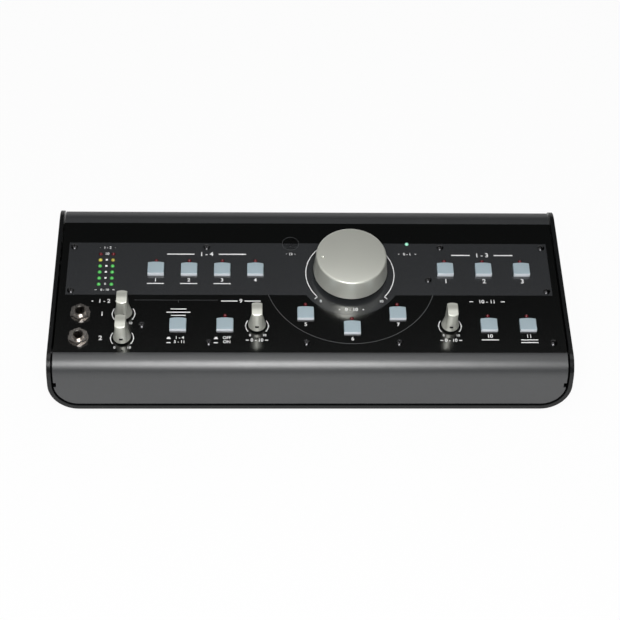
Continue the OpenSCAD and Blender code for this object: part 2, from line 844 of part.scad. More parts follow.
module button_lamps() {
    color("#7a1a1a") placed() for (b = lamp_places) lamp(b[0], b[1] + lamp_at);
}
module meter_green_lamps() {
    color("#3fae4c") placed() meter_lamps([0 : meter_rows - 3]);
}
module meter_amber_lamps() {
    color("#d2b83c") placed() meter_lamps([meter_rows - 2]);
}
module meter_red_lamps() {
    color("#8c2020") placed() meter_lamps([meter_rows - 1]);
}
module power_lamp() {
    color("#46c46a") placed() lamp(volume_u + mic_du, mic_v);
}

module mic_capsule() {
    color("#9a9c9e") placed() on_deck(volume_u - mic_du, mic_v, -cover_t - play - capsule_h)
        cylinder(d = capsule_d, h = capsule_h);
}

// Rubber boot that holds the capsule up to the grille
module mic_boot() {
    color("#121213") placed() on_deck(volume_u - mic_du, mic_v, board_n) difference() {
        cylinder(d = capsule_d + 2 * boot_wall, h = board_drop - cover_t);
        translate([0, 0, board_drop - cover_t - capsule_h - play])
            cylinder(d = capsule_d + 2 * seat, h = capsule_h + 1);
    }
}

// ---- Headphone sockets ----

// Quarter-inch socket behind a panel: a moulded box of box[0] x box[1], its threaded neck out in front
module jack(box, depth, thick, out) {
    difference() {
        union() {
            translate([-box[0] / 2, -box[1] / 2, -thick - depth]) cube([box[0], box[1], depth]);
            translate([0, 0, -thick - eps]) cylinder(d = jack_neck, h = thick + out + eps);
        }
        translate([0, 0, jack_floor - thick - depth])
            cylinder(d = jack_bore, h = depth + thick + out);
        translate([0, 0, out - jack_lead])
            cylinder(d1 = jack_bore, d2 = jack_bore + 2 * jack_lead, h = jack_lead + eps);
    }
}

module phones_jacks() {
    color("#8c8d90") placed() for (v = phones_vs) {
        on_deck(phones_u, v) jack(phones_box, jack_depth, cover_t, neck_out);
    }
}
module phones_washers() {
    color("#b0b0ae") placed() for (v = phones_vs) {
        on_deck(phones_u, v) difference() {
            cylinder(d = phones_nut + 2, h = washer_t);
            translate([0, 0, -1]) cylinder(d = jack_neck + 2 * seat, h = washer_t + 2);
        }
    }
}
module phones_nuts() {
    color("#c8c6c0") placed() for (v = phones_vs) {
        on_deck(phones_u, v, washer_t) rotate([0, 0, 30])
            hex_nut(phones_nut, nut_t, jack_neck + 2 * seat);
    }
}

// ---- Connector plate ----

module line_jacks() {
    color("#1d1e21") placed() for (x = line_xs, z = line_zs) {
        on_plate(x, z) jack(line_box, line_depth, rear_t, line_out);
    }
}
module line_nuts() {
    color("#b9bab8") placed() for (x = line_xs, z = line_zs) {
        on_plate(x, z) hex_nut(line_nut, line_nut_t, jack_neck + 2 * seat);
    }
}

// Phono sockets: plated barrels with a flange, round coloured cores
module phono_barrels() {
    color("#c9a95a") placed() for (z = phono_zs) {
        on_plate(phono_x, z) difference() {
            union() {
                translate([0, 0, -rear_t - phono_in])
                    cylinder(d = phono_d, h = rear_t + phono_in + phono_len);
                cylinder(d = phono_d + 2 * phono_rim, h = phono_flange);
            }
            translate([0, 0, -rear_t - phono_in - 1])
                cylinder(d = phono_core, h = rear_t + phono_in + phono_len + 2);
        }
    }
}
module phono_inserts() {
    length = rear_t + phono_in + phono_len - phono_sunk;
    color("#c23a2c") placed() for (z = phono_zs) {
        on_plate(phono_x, z, -rear_t - phono_in) difference() {
            cylinder(d = phono_core - 2 * seat, h = length);
            translate([0, 0, phono_floor]) cylinder(d = phono_pin, h = length);
        }
    }
}

// Threaded post with a six-sided head behind the plate
module earth_post() {
    color("#b9bab8") placed() on_plate(earth_x, earth_z) {
        translate([0, 0, -rear_t - earth_in]) cylinder(d = earth_d, h = rear_t + earth_in + earth_out);
        translate([0, 0, -rear_t - earth_head]) cylinder(d = 2 * earth_d, h = earth_head, $fn = 6);
    }
}
// Thumb nut with twelve flats and a collar
module earth_nut() {
    color("#c8c6c0") placed() on_plate(earth_x, earth_z, earth_nut_out) difference() {
        union() {
            cylinder(d = earth_nut_d, h = earth_nut_t, $fn = 12);
            translate([0, 0, earth_nut_t - eps]) cylinder(d = earth_nut_d - 2, h = 1);
        }
        translate([0, 0, -1]) cylinder(d = earth_d + 2 * seat, h = 2 * earth_nut_t);
    }
}

// Round low-voltage inlet: a shell groove round an insulator with five pin holes
module power_inlet() {
    color("#202124") placed() on_plate(inlet_x, inlet_z) difference() {
        union() {
            translate([0, 0, -rear_t - inlet_in]) cylinder(d = inlet_d, h = rear_t + inlet_in + inlet_out);
            cylinder(d = inlet_d + 2 * inlet_out, h = inlet_out);
        }
        difference() {
            translate([0, 0, -inlet_in / 2]) cylinder(d = inlet_d - inlet_wall, h = inlet_in);
            translate([0, 0, -inlet_in]) cylinder(d = inlet_core, h = 2 * inlet_in);
        }
        // The insulator ends a little below the shell
        cylinder(d = inlet_d - inlet_wall, h = inlet_in);
        for (a = [60 : 60 : 300]) {
            rotate([0, 0, a]) translate([inlet_pins, 0, -inlet_in / 2])
                cylinder(d = inlet_pin_d, h = inlet_in, $fn = 16);
        }
    }
}

// Rocker bezel and housing, open to the back for the rocker
module rocker_frame() {
    body = rocker_body;
    w = rocker_w + 2 * cap_gap;
    h = 2 * (rocker_r + cap_gap);
    color("#17181a") placed() on_plate(rocker_x, inlet_z) difference() {
        union() {
            translate([-body[0] / 2, -body[1] / 2, -rocker_in]) cube([body[0], body[1], rocker_in + eps]);
            translate([-body[0] / 2 - bezel, -body[1] / 2 - bezel, 0])
                cube([body[0] + 2 * bezel, body[1] + 2 * bezel, bezel_t]);
        }
        translate([-w / 2, -h / 2, rocker_axis - rocker_r - cap_gap]) cube([w, h, tall]);
        x_rod(0, 0, rocker_axis, pivot_d + 2 * shaft_fit, body[0] - 1);
    }
}

// Rocker with its two finger faces meeting in a shallow valley, on a pivot pin
module power_rocker() {
    reach = rocker_r + 1;
    color("#101012") placed() on_plate(rocker_x, inlet_z, rocker_axis) rotate([rocker_rest, 0, 0]) {
        difference() {
            x_rod(0, 0, 0, 2 * rocker_r, rocker_w);
            across(2 * rocker_w) polygon([[0, valley_low], [rocker_r, valley_high],
                [reach, 2 * rocker_r], [-reach, 2 * rocker_r], [-rocker_r, valley_high]]);
        }
        x_rod(0, 0, 0, pivot_d, rocker_body[0] - 2);
    }
}

module phono_switch() {
    w = phono_body;
    well = phono_cap + 2 * cap_gap;
    color("#2b2d31") placed() on_plate(earth_x, phono_button_z, -rear_t) difference() {
        translate([-w / 2, -w / 2, -phono_in]) cube([w, w, phono_in]);
        translate([-well / 2, -well / 2, -phono_in + cap_wall]) cube([well, well, phono_in]);
    }
}
module phono_button() {
    w = phono_cap;
    color("#9aa0a5") placed() on_plate(earth_x, phono_button_z, phono_cap_out - phono_in)
        translate([-w / 2, -w / 2, 0]) cube([w, w, phono_in]);
}

// ---- Boards inside ----

module main_board() {
    low = board_n - board_t;
    color("#1f5a35") placed() difference() {
        on_deck(0, 0, low) translate([-board_end, board_low_v, 0])
            cube([2 * board_end, board_high_v - board_low_v, board_t]);
        // Corner left open for the headphone sockets
        on_deck(phones_u, phones_v, low - 1)
            translate([phones_box[1] / 2 + board_clear - tall, phones_box[1] / 2 + board_clear - tall, 0])
            cube([tall, tall, board_t + 2]);
        on_deck(volume_u, volume_v, low - 1) cylinder(d = volume_pot_d + board_clear, h = board_t + 2);
        for (p = deck_screws) {
            on_deck(p[0], p[1], low - 1) cylinder(d = screw_d + 2 * seat, h = board_t + 2);
        }
    }
}
module rear_board() {
    left = line_x * spread[0] - line_box[0];
    right = phono_x * spread[0] - phono_d - board_clear;
    color("#1f5a35") placed() translate([left, rear_board_y, wrap_t + board_clear])
        cube([right - left, board_t, line_z + line_rise + line_box[0]]);
}
// Round spacers between the deck and the main board, one at each deck screw
module board_spacers() {
    color("#c9c9c6") placed() for (p = deck_screws) {
        on_deck(p[0], p[1], board_n) difference() {
            cylinder(d = 2 * screw_d, h = board_drop - cover_t);
            translate([0, 0, -1]) cylinder(d = screw_d + 2 * seat, h = board_drop);
        }
    }
}
// Flat cable from the main board down to the rear board, with its two connectors
module board_ribbon() {
    wide = ribbon_w + plug - ribbon_t;
    plug_n = board_n - board_t - plug - seat;
    end_y = rear_board_y - plug;
    end_z = line_z + line_rise / 2;
    top_y = end_y - ribbon_bend - board_clear;
    rise = (top_y - deck_0[0] + plug_n * along[1]) / along[0];
    top_z = deck_0[1] + rise * along[1] + plug_n * along[0];
    bend_z = end_z + ribbon_bend;
    color("#8d8f93") placed() {
        on_deck(0, rise / spread[1], plug_n) translate([-wide / 2, -plug / 2, 0]) cube([wide, plug, plug]);
        translate([-wide / 2, end_y, end_z - plug / 2]) cube([wide, plug, plug]);
        translate([-ribbon_w / 2, top_y - ribbon_t / 2, bend_z])
            cube([ribbon_w, ribbon_t, top_z - bend_z + ribbon_t]);
        across(ribbon_w) difference() {
            translate([top_y + ribbon_bend, bend_z]) circle(ribbon_bend + ribbon_t / 2);
            translate([top_y + ribbon_bend, bend_z]) circle(ribbon_bend - ribbon_t / 2);
            translate([top_y - 1, bend_z]) square([4 * ribbon_bend, 2 * ribbon_bend]);
            translate([top_y + ribbon_bend, end_z - ribbon_bend]) square([2 * ribbon_bend, 4 * ribbon_bend]);
        }
        translate([-ribbon_w / 2, top_y + ribbon_bend - eps, end_z - ribbon_t / 2])
            cube([ribbon_w, end_y - top_y - ribbon_bend + ribbon_t, ribbon_t]);
    }
}

base_wrap();
top_cover();
rear_panel();
feet();
case_screws();
panel_screws();
volume_knob();
volume_shaft();
volume_pot();
volume_nut();
phones_1_knob();
phones_2_knob();
studio_knob();
talkback_knob();
phones_1_shaft();
phones_2_shaft();
studio_shaft();
talkback_shaft();
level_pots();
source_1_button();
source_2_button();
source_3_button();
source_4_button();
speaker_a_button();
speaker_b_button();
speaker_c_button();
mono_button();
mute_button();
dim_button();
phones_source_button();
studio_button();
talk_tracks_button();
talk_phones_button();
switch_bodies();
button_lamps();
meter_green_lamps();
meter_amber_lamps();
meter_red_lamps();
power_lamp();
mic_capsule();
mic_boot();
phones_jacks();
phones_washers();
phones_nuts();
line_jacks();
line_nuts();
phono_barrels();
phono_inserts();
earth_post();
earth_nut();
power_inlet();
rocker_frame();
power_rocker();
phono_switch();
phono_button();
main_board();
rear_board();
board_spacers();
board_ribbon();
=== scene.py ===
import json
import math

import bpy
from mathutils import Matrix, Vector


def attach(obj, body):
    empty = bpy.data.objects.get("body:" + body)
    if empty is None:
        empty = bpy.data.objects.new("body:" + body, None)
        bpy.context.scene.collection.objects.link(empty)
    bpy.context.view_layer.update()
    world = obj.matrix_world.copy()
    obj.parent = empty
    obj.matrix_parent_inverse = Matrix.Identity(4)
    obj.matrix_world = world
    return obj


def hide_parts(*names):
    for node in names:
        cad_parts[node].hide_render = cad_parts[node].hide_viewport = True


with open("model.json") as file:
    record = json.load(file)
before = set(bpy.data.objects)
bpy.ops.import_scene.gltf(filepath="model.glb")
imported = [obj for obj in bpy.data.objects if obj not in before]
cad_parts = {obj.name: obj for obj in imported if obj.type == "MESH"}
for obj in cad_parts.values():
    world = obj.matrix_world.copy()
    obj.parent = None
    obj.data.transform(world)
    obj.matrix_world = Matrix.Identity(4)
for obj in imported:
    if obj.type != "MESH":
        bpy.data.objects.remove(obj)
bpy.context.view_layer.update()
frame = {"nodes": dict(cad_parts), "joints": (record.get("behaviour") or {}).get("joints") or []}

# ---- Camera ----
# A long lens from in front, a little to the left and well above the desk, solved from the edges of
# the case and the knobs in the photograph.
camera_turn = math.radians(-2.5088)
camera_dip = math.radians(36.4434)
camera_roll = math.radians(1.6047)
bpy.ops.object.camera_add(location=(-0.04214, -0.98360, 0.76208))
camera = bpy.context.object
camera.name = "photo_camera"
camera.rotation_euler = (Matrix.Rotation(camera_turn, 3, "Z")
                         @ Matrix.Rotation(math.pi / 2 - camera_dip, 3, "X")
                         @ Matrix.Rotation(camera_roll, 3, "Z")).to_euler()
camera.data.sensor_width = 36.0
camera.data.lens = 91.13
bpy.context.scene.camera = camera
bpy.context.scene.view_settings.view_transform = "Standard"

# ---- Desk, room and lamps ----
# A plain white desk top in a dim room. A square soft box over the camera draws the bright line along
# the nose of the case. A long panel hangs overhead, a pale card stands behind, a low fill in front.


def new_material(name, color=(0.8, 0.8, 0.8), roughness=0.5, metallic=0.0, **sockets):
    """A material with one Principled shader, whose fixed values are set on its own sockets."""
    made = bpy.data.materials.new(name)
    made.use_nodes = True
    shader = made.node_tree.nodes["Principled BSDF"]
    shader.inputs["Base Color"].default_value = (*color, 1.0)
    shader.inputs["Roughness"].default_value = roughness
    shader.inputs["Metallic"].default_value = metallic
    for socket, value in sockets.items():
        shader.inputs[socket.replace("_", " ")].default_value = value
    return made, made.node_tree, shader


def add_node(tree, kind, **settings):
    """One node of that kind, with its settings."""
    node = tree.nodes.new(kind)
    for setting, value in settings.items():
        setattr(node, setting, value)
    return node


def feed(tree, node, socket, value):
    """Links an output to a node's input, or sets the input to a plain value."""
    if isinstance(value, bpy.types.NodeSocket):
        tree.links.new(value, node.inputs[socket])
    else:
        node.inputs[socket].default_value = value


def calc(tree, operation, *values):
    """A Math node of that operation on sockets or numbers."""
    node = add_node(tree, "ShaderNodeMath", operation=operation)
    for place, value in enumerate(values):
        feed(tree, node, place, value)
    return node.outputs[0]


bpy.ops.mesh.primitive_plane_add(size=8.0)
desk = bpy.context.object
desk.name = "desk_top"
desk_paint, tree, shader = new_material("desk_white", (0.86, 0.86, 0.86), 0.7)
white_share = 0.95
rays = add_node(tree, "ShaderNodeLightPath")
seen = calc(tree, "MAXIMUM", rays.outputs["Is Camera Ray"], rays.outputs["Is Glossy Ray"])
white = add_node(tree, "ShaderNodeEmission")
blend_node = add_node(tree, "ShaderNodeMixShader")
feed(tree, blend_node, 0, calc(tree, "MULTIPLY", seen, white_share))
feed(tree, blend_node, 1, shader.outputs[0])
feed(tree, blend_node, 2, white.outputs[0])
feed(tree, tree.nodes["Material Output"], 0, blend_node.outputs[0])
desk.data.materials.append(desk_paint)

room = bpy.data.worlds.new("dim_room")
bpy.context.scene.world = room
room.use_nodes = True
wall_glow, wall_fill = 0.012, 0.07
tree = room.node_tree
walls = tree.nodes["Background"]
rays = add_node(tree, "ShaderNodeLightPath")
white_sky = add_node(tree, "ShaderNodeBackground")
sky_mix = add_node(tree, "ShaderNodeMixShader")
fill = calc(tree, "MULTIPLY", rays.outputs["Is Diffuse Ray"], wall_fill)
feed(tree, walls, "Strength", calc(tree, "ADD", wall_glow, fill))
feed(tree, walls, "Color", (1.0, 1.0, 1.0, 1.0))
feed(tree, white_sky, "Color", (1.0, 1.0, 1.0, 1.0))
feed(tree, sky_mix, 0, rays.outputs["Is Camera Ray"])
feed(tree, sky_mix, 1, walls.outputs[0])
feed(tree, sky_mix, 2, white_sky.outputs[0])
feed(tree, tree.nodes["World Output"], 0, sky_mix.outputs[0])


def soft_panel(name, place, aim, size, power):
    """A rectangular lamp at place that faces aim; metres and watts."""
    bpy.ops.object.light_add(type="AREA", location=place)
    lamp = bpy.context.object
    lamp.name = name
    lamp.data.shape = "RECTANGLE"
    lamp.data.size, lamp.data.size_y = size
    lamp.data.energy = power
    lamp.visible_camera = False
    lamp.rotation_euler = (Vector(aim) - Vector(place)).to_track_quat("-Z", "Y").to_euler()
    return lamp


soft_panel("key_box", (-0.05, -0.86, 0.87), (0.0, -0.05, 0.05), (0.48, 0.48), 11.0)
soft_panel("overhead_panel", (-0.1, -0.12, 1.35), (-0.1, -0.1, 0.05), (1.6, 0.6), 4.3)
soft_panel("back_card", (0.0, 1.6, 0.75), (0.0, 0.2, 0.08), (2.4, 1.1), 5.5)
low_fill = soft_panel("low_fill", (-0.35, -1.6, 0.2), (0.0, 0.0, 0.06), (0.8, 0.5), 5.5)
low_fill.visible_glossy = False

# ---- Finishes that more than one piece shares ----
# Grain is the fine texture of powder coat, spark-eroded plastic and drawn metal. Rub is the paler
# line that handling leaves along an edge.


def new_group(name, inputs, outputs):
    """An empty shader group with float inputs (name: default) and the named outputs."""
    group = bpy.data.node_groups.new(name, "ShaderNodeTree")
    for label, value in inputs.items():
        socket = group.interface.new_socket(label, in_out="INPUT", socket_type="NodeSocketFloat")
        socket.default_value = value
    for label, kind in outputs.items():
        group.interface.new_socket(label, in_out="OUTPUT", socket_type=kind)
    return group, group.nodes.new("NodeGroupInput"), group.nodes.new("NodeGroupOutput")


grain, given, result = new_group("surface_grain", {"Size mm": 0.5, "Stretch": 1.0},
                                 {"Height": "NodeSocketFloat", "Mottle": "NodeSocketFloat"})
where = add_node(grain, "ShaderNodeTexCoord")
stretched = add_node(grain, "ShaderNodeVectorMath", operation="MULTIPLY")
feed(grain, stretched, 0, where.outputs["Object"])
along_x = add_node(grain, "ShaderNodeCombineXYZ")
feed(grain, along_x, 0, given.outputs["Stretch"])
feed(grain, along_x, 1, 1.0)
feed(grain, along_x, 2, 1.0)
feed(grain, stretched, 1, along_x.outputs[0])
fine = add_node(grain, "ShaderNodeTexNoise")
feed(grain, fine, "Vector", stretched.outputs[0])
feed(grain, fine, "Scale", calc(grain, "DIVIDE", 1000.0, given.outputs["Size mm"]))
feed(grain, fine, "Detail", 3.0)
feed(grain, result, "Height", fine.outputs["Fac"])
broad = add_node(grain, "ShaderNodeTexNoise")
feed(grain, broad, "Vector", where.outputs["Object"])
feed(grain, broad, "Scale", 38.0)
feed(grain, broad, "Detail", 4.0)
feed(grain, result, "Mottle", broad.outputs["Fac"])

rub, given, result = new_group("edge_rub", {"Radius mm": 0.6, "Amount": 0.5}, {"Mask": "NodeSocketFloat"})
rounded = add_node(rub, "ShaderNodeBevel", samples=6)
feed(rub, rounded, "Radius", calc(rub, "MULTIPLY", given.outputs["Radius mm"], 0.001))
surface = add_node(rub, "ShaderNodeNewGeometry")
facing = add_node(rub, "ShaderNodeVectorMath", operation="DOT_PRODUCT")
feed(rub, facing, 0, rounded.outputs[0])
feed(rub, facing, 1, surface.outputs["Normal"])
bent = calc(rub, "MULTIPLY", calc(rub, "SUBTRACT", 1.0, facing.outputs["Value"]), 4.0)
patchy = add_node(rub, "ShaderNodeTexNoise")
where = add_node(rub, "ShaderNodeTexCoord")
feed(rub, patchy, "Vector", where.outputs["Object"])
feed(rub, patchy, "Scale", 160.0)
feed(rub, result, "Mask", calc(rub, "MINIMUM", 1.0, calc(
    rub, "MULTIPLY", calc(rub, "MULTIPLY", bent, patchy.outputs["Fac"]), given.outputs["Amount"])))


def use_group(tree, group, **values):
    """Places a shared finish in a material, with its own values."""
    node = add_node(tree, "ShaderNodeGroup", node_tree=group)
    for socket, value in values.items():
        node.inputs[socket.replace("_", " ")].default_value = value
    return node


def mix_color(tree, amount, first, second):
    """Blends two colours, each a socket or a plain RGB triple."""
    node = add_node(tree, "ShaderNodeMix", data_type="RGBA")
    feed(tree, node, 0, amount)
    for socket, value in ((6, first), (7, second)):
        feed(tree, node, socket, value if isinstance(value, bpy.types.NodeSocket) else (*value, 1.0))
    return node.outputs[2]


def span(tree, value, low, high):
    """Maps a 0-1 mask to the range low-high."""
    node = add_node(tree, "ShaderNodeMapRange")
    feed(tree, node, 0, value)
    feed(tree, node, 3, low)
    feed(tree, node, 4, high)
    return node.outputs[0]


def textured(name, color, roughness, size_mm, bump_mm, metallic=0.0, spread=0.12, stretch=1.0,
             rub_color=None, rub_amount=0.5, **sockets):
    """A finish with grain in its relief, mottling in its gloss and colour, and rubbed edges."""
    made, tree, shader = new_material(name, color, roughness, metallic, **sockets)
    cover = use_group(tree, grain, Size_mm=size_mm, Stretch=stretch)
    feed(tree, shader, "Roughness", span(tree, cover.outputs["Mottle"],
                                         roughness * (1 - spread), roughness * (1 + spread)))
    tone = mix_color(tree, cover.outputs["Mottle"], [c * (1 - spread / 2) for c in color],
                     [c * (1 + spread / 2) for c in color])
    if rub_color:
        worn = use_group(tree, rub, Amount=rub_amount)
        tone = mix_color(tree, worn.outputs["Mask"], tone, rub_color)
    feed(tree, shader, "Base Color", tone)
    relief = add_node(tree, "ShaderNodeBump")
    relief.inputs["Strength"].default_value = 1.0
    relief.inputs["Distance"].default_value = bump_mm / 1000.0
    feed(tree, relief, "Height", cover.outputs["Height"])
    feed(tree, shader, "Normal", relief.outputs[0])
    return made


def dress(material, *names):
    """Gives CAD nodes a material."""
    for name in names:
        slots = frame["nodes"][name].data.materials
        slots.clear()
        slots.append(material)


# ---- Black wrap, connector plate and feet ----
# One folded steel sheet for the underside and the two cheeks, and a plate for the connectors, both
# in black powder coat with a fine leathery grain. The four feet are moulded rubber, screwed on.
powder_black = textured("black_powder_coat", (0.0060, 0.0064, 0.0068), 0.26, 0.55, 0.02,
                        rub_color=(0.011, 0.0115, 0.012), rub_amount=0.3, IOR=1.42)
dress(powder_black, "base_wrap", "rear_panel")
foot_rubber = textured("foot_rubber", (0.014, 0.014, 0.015), 0.78, 0.4, 0.03)
dress(foot_rubber, "feet", "mic_boot")

# ---- Grey top cover and its printed panel ----
# One folded steel sheet in a satin metallic grey, screwed between the cheeks. The deck is
# screen-printed: gloss black at the front and back, and between them a dark grey band that bulges
# round the volume knob. Places on the deck are in millimetres: u to the right, v up the slope.
joints = {joint["name"]: joint for joint in frame["joints"]}
deck_up = Vector(joints["volume_turn"]["axis"]).normalized()
across = Vector((1.0, 0.0, 0.0))
slope = deck_up.cross(across)
volume_u, volume_v = 31.0, 74.2
deck_start = Vector(joints["volume_turn"]["pos_m"]) - (volume_u * across + volume_v * slope) / 1000.0
band_low, band_mid, band_high = 53.4, 103.9, 124.0
band_half = 185.5
bulge_r = 39.8

flake_scale, flake_reach = 2600.0, 0.28
cover_paint, tree, shader = new_material("grey_cover_paint", (0.02, 0.02, 0.02), 0.42, IOR=1.95)
where = add_node(tree, "ShaderNodeTexCoord")


def distance_along(tree, where, direction):
    """Millimetres from the deck's starting point along a direction, over a surface."""
    moved = add_node(tree, "ShaderNodeVectorMath", operation="SUBTRACT")
    feed(tree, moved, 0, where.outputs["Object"])
    feed(tree, moved, 1, deck_start)
    dot = add_node(tree, "ShaderNodeVectorMath", operation="DOT_PRODUCT")
    feed(tree, dot, 0, moved.outputs[0])
    feed(tree, dot, 1, direction * 1000.0)
    return dot.outputs["Value"]


def between(tree, value, low, high):
    """1 where the value lies between low and high."""
    return calc(tree, "MULTIPLY", calc(tree, "GREATER_THAN", value, low),
                calc(tree, "LESS_THAN", value, high))


deck_u = distance_along(tree, where, across)
deck_v = distance_along(tree, where, slope)
inside = calc(tree, "LESS_THAN", calc(tree, "ABSOLUTE", deck_u), band_half)
printed = between(tree, deck_v, 0.0, band_high)
from_knob = calc(tree, "SQRT", calc(
    tree, "ADD", calc(tree, "POWER", calc(tree, "SUBTRACT", deck_u, volume_u), 2.0),
    calc(tree, "POWER", calc(tree, "SUBTRACT", deck_v, volume_v), 2.0)))
middle = calc(tree, "MAXIMUM", calc(tree, "MULTIPLY", inside, between(tree, deck_v, band_low, band_mid)),
              calc(tree, "MULTIPLY", calc(tree, "LESS_THAN", from_knob, bulge_r),
                   calc(tree, "LESS_THAN", deck_v, band_mid)))
coat = use_group(tree, grain, Size_mm=0.22)
flakes = add_node(tree, "ShaderNodeTexVoronoi")
feed(tree, flakes, "Vector", where.outputs["Object"])
feed(tree, flakes, "Scale", flake_scale)
flake = calc(tree, "MULTIPLY", calc(tree, "LESS_THAN", flakes.outputs["Distance"], flake_reach), 0.5)
paint = mix_color(tree, flake, (0.010, 0.0115, 0.013), (0.06, 0.066, 0.075))
paint = mix_color(tree, calc(tree, "MULTIPLY", use_group(tree, rub).outputs["Mask"], 0.3), paint,
                  (0.09, 0.095, 0.1))
speckle = span(tree, coat.outputs["Height"], 0.85, 1.15)
ink = mix_color(tree, middle, (0.0018, 0.0021, 0.0020), (0.019, 0.0205, 0.0225))
tinted = add_node(tree, "ShaderNodeVectorMath", operation="SCALE")
feed(tree, tinted, 0, ink)
feed(tree, tinted, "Scale", speckle)
feed(tree, shader, "Base Color", mix_color(tree, printed, paint, tinted.outputs[0]))
gloss = add_node(tree, "ShaderNodeMix")
feed(tree, gloss, 0, printed)
feed(tree, gloss, 2, span(tree, coat.outputs["Mottle"], 0.38, 0.45))
feed(tree, gloss, 3, span(tree, middle, 0.16, 0.26))
feed(tree, shader, "Roughness", gloss.outputs[0])
relief = add_node(tree, "ShaderNodeBump")
relief.inputs["Strength"].default_value = 0.5
relief.inputs["Distance"].default_value = 0.000012
feed(tree, relief, "Height", calc(tree, "ADD", coat.outputs["Height"],
                                  calc(tree, "MULTIPLY", printed, 0.8)))
feed(tree, shader, "Normal", relief.outputs[0])
dress(cover_paint, "top_cover")

# ---- White printing on the deck ----
# Arcs, scale ticks, rules and plain numbers, screen-printed in white, and a few thin lines in grey.
# They stand a hair above the ink around them.
print_white, tree, shader = new_material("white_print_ink", (0.78, 0.78, 0.78), 0.4)
coat = use_group(tree, grain, Size_mm=0.2)
feed(tree, shader, "Base Color", mix_color(tree, coat.outputs["Mottle"], (0.76, 0.76, 0.76),
                                           (0.90, 0.90, 0.90)))
print_grey, tree, shader = new_material("grey_print_ink", (0.05, 0.052, 0.055), 0.4)
coat = use_group(tree, grain, Size_mm=0.2)
feed(tree, shader, "Base Color", mix_color(tree, coat.outputs["Mottle"], (0.042, 0.044, 0.045),
                                           (0.06, 0.062, 0.064)))
print_lift = 0.015
print_thick = 0.03


def deck_matrix(u, v, n=0.0, turn=0.0):
    """The frame of a place on the deck, in metres: u across, v up the slope, n out, turned about n."""
    place = deck_start + (u * across + v * slope + n * deck_up) / 1000.0
    axes = Matrix((across, slope, deck_up)).transposed().to_4x4()
    return Matrix.Translation(place) @ axes @ Matrix.Rotation(turn, 4, "Z")


def bare():
    """Leaves edit mode and deselects everything."""
    if bpy.context.mode != "OBJECT":
        bpy.ops.object.mode_set(mode="OBJECT")
    bpy.ops.object.select_all(action="DESELECT")


def settle(piece, matrix):
    """Scales a piece drawn in millimetres to metres, puts it at a place and applies that to its mesh."""
    bare()
    piece.select_set(True)
    bpy.context.view_layer.objects.active = piece
    piece.matrix_world = matrix @ Matrix.Scale(0.001, 4) @ piece.matrix_world
    bpy.ops.object.transform_apply(location=True, rotation=True, scale=True)
    return piece


def join(pieces, name):
    """Joins pieces into one named object."""
    bare()
    for piece in pieces:
        piece.select_set(True)
    bpy.context.view_layer.objects.active = pieces[0]
    if len(pieces) > 1:
        bpy.ops.object.join()
    pieces[0].name = name
    pieces[0].data.name = name
    return pieces[0]


def thicken(piece, thickness):
    """Gives a flat print its thickness, upwards."""
    bare()
    piece.select_set(True)
    bpy.context.view_layer.objects.active = piece
    finish = piece.modifiers.new("thickness", "SOLIDIFY")
    finish.thickness = thickness
    finish.offset = 1.0
    bpy.ops.object.modifier_apply(modifier=finish.name)
    return piece


def print_bar(u0, v0, u1, v1, width=0.35):
    """A straight printed line between two places on the deck."""
    length = math.hypot(u1 - u0, v1 - v0)
    bare()
    bpy.ops.mesh.primitive_plane_add(size=1.0)
    bar = bpy.context.object
    bar.scale = (length, width, 1.0)
    thicken(bar, print_thick)
    return settle(bar, deck_matrix((u0 + u1) / 2, (v0 + v1) / 2, print_lift,
                                   math.atan2(v1 - v0, u1 - u0)))


def print_arc(u, v, radius, width, start, end, steps=64):
    """A printed arc about a place; angles in degrees from twelve o'clock, positive to the right."""
    bare()
    bpy.ops.mesh.primitive_plane_add(size=width, location=(width / 2, radius, 0.0))
    arc = bpy.context.object
    bpy.ops.object.transform_apply(location=True, rotation=True, scale=True)
    bpy.ops.object.mode_set(mode="EDIT")
    bpy.ops.mesh.select_mode(type="VERT")
    bpy.ops.mesh.select_all(action="DESELECT")
    bpy.ops.object.mode_set(mode="OBJECT")
    for corner in arc.data.vertices:
        corner.select = corner.co.x > width / 2
    bpy.ops.object.mode_set(mode="EDIT")
    bpy.ops.mesh.delete(type="VERT")
    bpy.ops.mesh.select_all(action="SELECT")
    bpy.ops.mesh.spin(steps=steps, angle=math.radians(end - start), center=(0.0, 0.0, 0.0),
                      axis=(0.0, 0.0, 1.0))
    bpy.ops.mesh.select_all(action="SELECT")
    bpy.ops.mesh.remove_doubles(threshold=0.0001)
    bpy.ops.object.mode_set(mode="OBJECT")
    if arc.data.polygons[0].normal.z < 0:
        bpy.ops.object.mode_set(mode="EDIT")
        bpy.ops.mesh.select_all(action="SELECT")
        bpy.ops.mesh.flip_normals()
        bpy.ops.object.mode_set(mode="OBJECT")
    thicken(arc, print_thick)
    return settle(arc, deck_matrix(u, v, print_lift, -math.radians(start)))


def print_number(words, u, v, height=3.0):
    """A plain printed number, centred on a place."""
    bare()
    bpy.ops.object.text_add()
    text = bpy.context.object
    text.data.body = words
    text.data.align_x = "CENTER"
    text.data.align_y = "CENTER"
    text.data.size = height / 0.7
    text.data.offset = 0.03 * height
    text.data.resolution_u = 4
    bpy.ops.object.convert(target="MESH")
    text = bpy.context.object
    thicken(text, print_thick)
    return settle(text, deck_matrix(u, v, print_lift))


